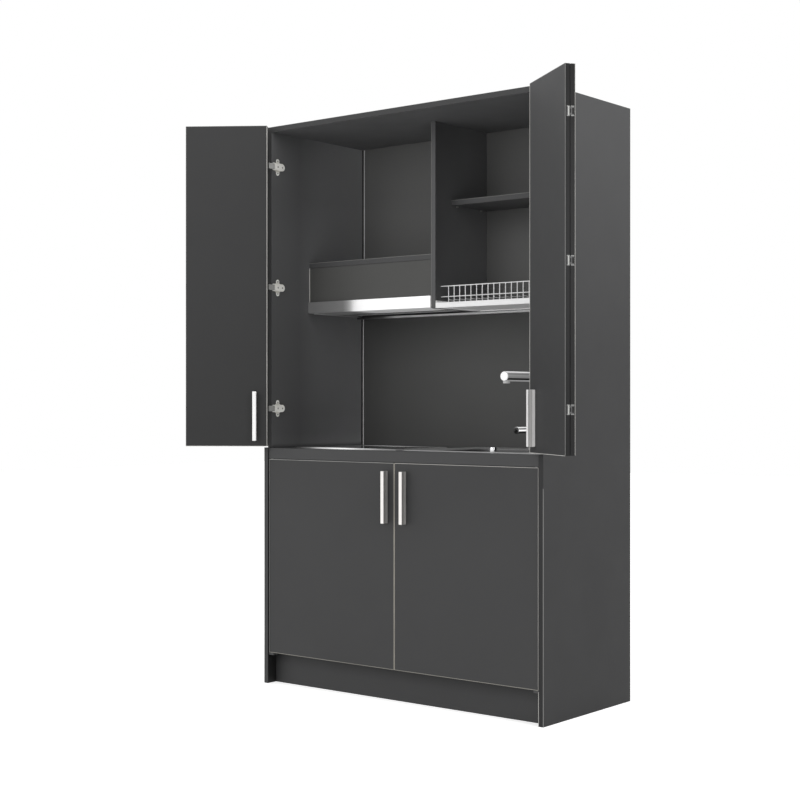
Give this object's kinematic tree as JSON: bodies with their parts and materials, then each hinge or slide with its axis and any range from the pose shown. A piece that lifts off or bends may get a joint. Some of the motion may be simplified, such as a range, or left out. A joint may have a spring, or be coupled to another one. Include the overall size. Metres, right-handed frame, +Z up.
{
  "type": "kitchenette unit with sink and hob",
  "caption": "Cupboard kitchenette with inset sink, two-zone hob, pull-out hood and dish rack behind folding upper doors, over a lower cupboard.",
  "frame": {"origin": "on the floor, at the middle of the plinth board's foot", "axes": "+X to the unit's right, +Y to the wall behind it, +Z up"},
  "size_m": [1.6446, 0.7267, 2.005],
  "materials": {
    "anthracite_board": "matt melamine-faced board",
    "worktop_board": "matt laminate",
    "hinge_steel": "nickel-plated",
    "handle_steel": "brushed",
    "rack_steel": "brushed",
    "casing_steel": "matt grey",
    "sink_steel": "satin stainless",
    "tap_chrome": "polished",
    "hob_glass": "polished black glass-ceramic",
    "black_plastic": "matt",
    "white_plastic": "smooth",
    "filter_mesh": "woven mesh"
  },
  "bodies": {
    "root": {"back_panel": "anthracite_board", "base_panel": "anthracite_board", "dish_shelf": "anthracite_board", "hob_housing": "black_plastic", "hob_plate": "hob_glass", "hood_casing": "casing_steel", "hood_fascia": "anthracite_board", "hood_filter": "filter_mesh", "hood_shelf": "anthracite_board", "left_hinge_bracket_1": "hinge_steel", "left_hinge_bracket_2": "hinge_steel", "left_hinge_bracket_3": "hinge_steel", "left_side_panel": "anthracite_board", "lower_left_pin_bottom": "hinge_steel", "lower_left_pin_top": "hinge_steel", "lower_right_pin_bottom": "hinge_steel", "lower_right_pin_top": "hinge_steel", "niche_panel": "anthracite_board", "plate_basket": "rack_steel", "plinth_board": "anthracite_board", "rack_frame": "rack_steel", "right_hinge_bracket_1": "hinge_steel", "right_hinge_bracket_2": "hinge_steel", "right_hinge_bracket_3": "hinge_steel", "right_side_panel": "anthracite_board", "sink_bowl": "sink_steel", "sink_waste": "sink_steel", "tap_body": "tap_chrome", "top_panel": "anthracite_board", "upper_partition": "anthracite_board", "waste_trap": "white_plastic", "worktop": "worktop_board"},
    "left_hinge_arms": {"left_hinge_arm_1": "hinge_steel", "left_hinge_arm_2": "hinge_steel", "left_hinge_arm_3": "hinge_steel"},
    "left_outer_leaf_body": {"left_fold_hinge_1": "hinge_steel", "left_fold_hinge_2": "hinge_steel", "left_fold_hinge_3": "hinge_steel", "left_outer_leaf": "anthracite_board"},
    "left_inner_leaf_body": {"left_inner_leaf": "anthracite_board", "left_upper_handle": "handle_steel"},
    "lower_left_door_body": {"lower_left_door": "anthracite_board", "lower_left_handle": "handle_steel"},
    "right_hinge_arms": {"right_hinge_arm_1": "hinge_steel", "right_hinge_arm_2": "hinge_steel", "right_hinge_arm_3": "hinge_steel"},
    "right_outer_leaf_body": {"right_fold_hinge_1": "hinge_steel", "right_fold_hinge_2": "hinge_steel", "right_fold_hinge_3": "hinge_steel", "right_outer_leaf": "anthracite_board"},
    "right_inner_leaf_body": {"right_inner_leaf": "anthracite_board", "right_upper_handle": "handle_steel"},
    "lower_right_door_body": {"lower_right_door": "anthracite_board", "lower_right_handle": "handle_steel"},
    "tap_spout_body": {"tap_spout": "tap_chrome"},
    "tap_lever_body": {"tap_lever": "tap_chrome"},
    "sink_plug_body": {"sink_plug": "sink_steel"},
    "hood_visor_body": {"hood_visor": "rack_steel"},
    "drip_tray_body": {"drip_tray": "rack_steel"},
    "hood_fan_body": {"hood_fan": "black_plastic"}
  },
  "joints": [
    {"name": "left_hinge_arm_turn", "type": "hinge", "parent": "root", "child": "left_hinge_arms", "pos_m": [-0.57324, -0.031, 0.989], "axis": [0, 0, -1], "range_deg": [0, 70.17]},
    {"name": "left_door_swing", "type": "hinge", "parent": "left_hinge_arms", "child": "left_outer_leaf_body", "pos_m": [-0.57313, -0.05482, 0.989], "axis": [0, 0, 1], "range_deg": [0, 214.47]},
    {"name": "left_door_fold", "type": "hinge", "parent": "left_outer_leaf_body", "child": "left_inner_leaf_body", "pos_m": [-0.81363, -0.23311, 0.989], "axis": [0, 0, -1], "range_deg": [0, 180]},
    {"name": "lower_left_door_swing", "type": "hinge", "parent": "root", "child": "lower_left_door_body", "pos_m": [-0.569, -0.042, 0.112], "axis": [0, 0, -1], "range_deg": [0, 110]},
    {"name": "right_hinge_arm_turn", "type": "hinge", "parent": "root", "child": "right_hinge_arms", "pos_m": [0.57324, -0.031, 0.989], "axis": [0, 0, 1], "range_deg": [0, 70.17]},
    {"name": "right_door_swing", "type": "hinge", "parent": "right_hinge_arms", "child": "right_outer_leaf_body", "pos_m": [0.57313, -0.05482, 0.989], "axis": [0, 0, -1], "range_deg": [0, 214.47]},
    {"name": "right_door_fold", "type": "hinge", "parent": "right_outer_leaf_body", "child": "right_inner_leaf_body", "pos_m": [0.81363, -0.23311, 0.989], "axis": [0, 0, 1], "range_deg": [0, 180]},
    {"name": "lower_right_door_swing", "type": "hinge", "parent": "root", "child": "lower_right_door_body", "pos_m": [0.569, -0.042, 0.112], "axis": [0, 0, 1], "range_deg": [0, 110]},
    {"name": "tap_spout_swivel", "type": "hinge", "parent": "root", "child": "tap_spout_body", "pos_m": [0.28, 0.3795, 1.06], "axis": [0, 0, 1], "range_deg": [-60, 60]},
    {"name": "tap_lever_turn", "type": "hinge", "parent": "root", "child": "tap_lever_body", "pos_m": [0.28, 0.3795, 0.915], "axis": [0, 0, 1], "range_deg": [-40, 40]},
    {"name": "sink_plug_lift", "type": "slide", "parent": "root", "child": "sink_plug_body", "axis": [0, 0, 1], "range_m": [0, 0.04]},
    {"name": "hood_visor_slide", "type": "slide", "parent": "root", "child": "hood_visor_body", "axis": [0, -1, 0], "range_m": [0, 0.11]},
    {"name": "drip_tray_slide", "type": "slide", "parent": "root", "child": "drip_tray_body", "axis": [0, -1, 0], "range_m": [0, 0.2]},
    {"name": "hood_fan_spin", "type": "hinge", "parent": "root", "child": "hood_fan_body", "pos_m": [-0.2955, 0.316, 1.499], "axis": [0, 0, 1], "continuous": true}
  ],
  "couplings": [
    {"joint": "left_hinge_arm_turn", "follows": "left_door_fold", "ratio": 0.38955},
    {"joint": "left_door_swing", "follows": "left_door_fold", "ratio": 1.1912},
    {"joint": "right_hinge_arm_turn", "follows": "right_door_fold", "ratio": 0.38955},
    {"joint": "right_door_swing", "follows": "right_door_fold", "ratio": 1.1912}
  ]
}
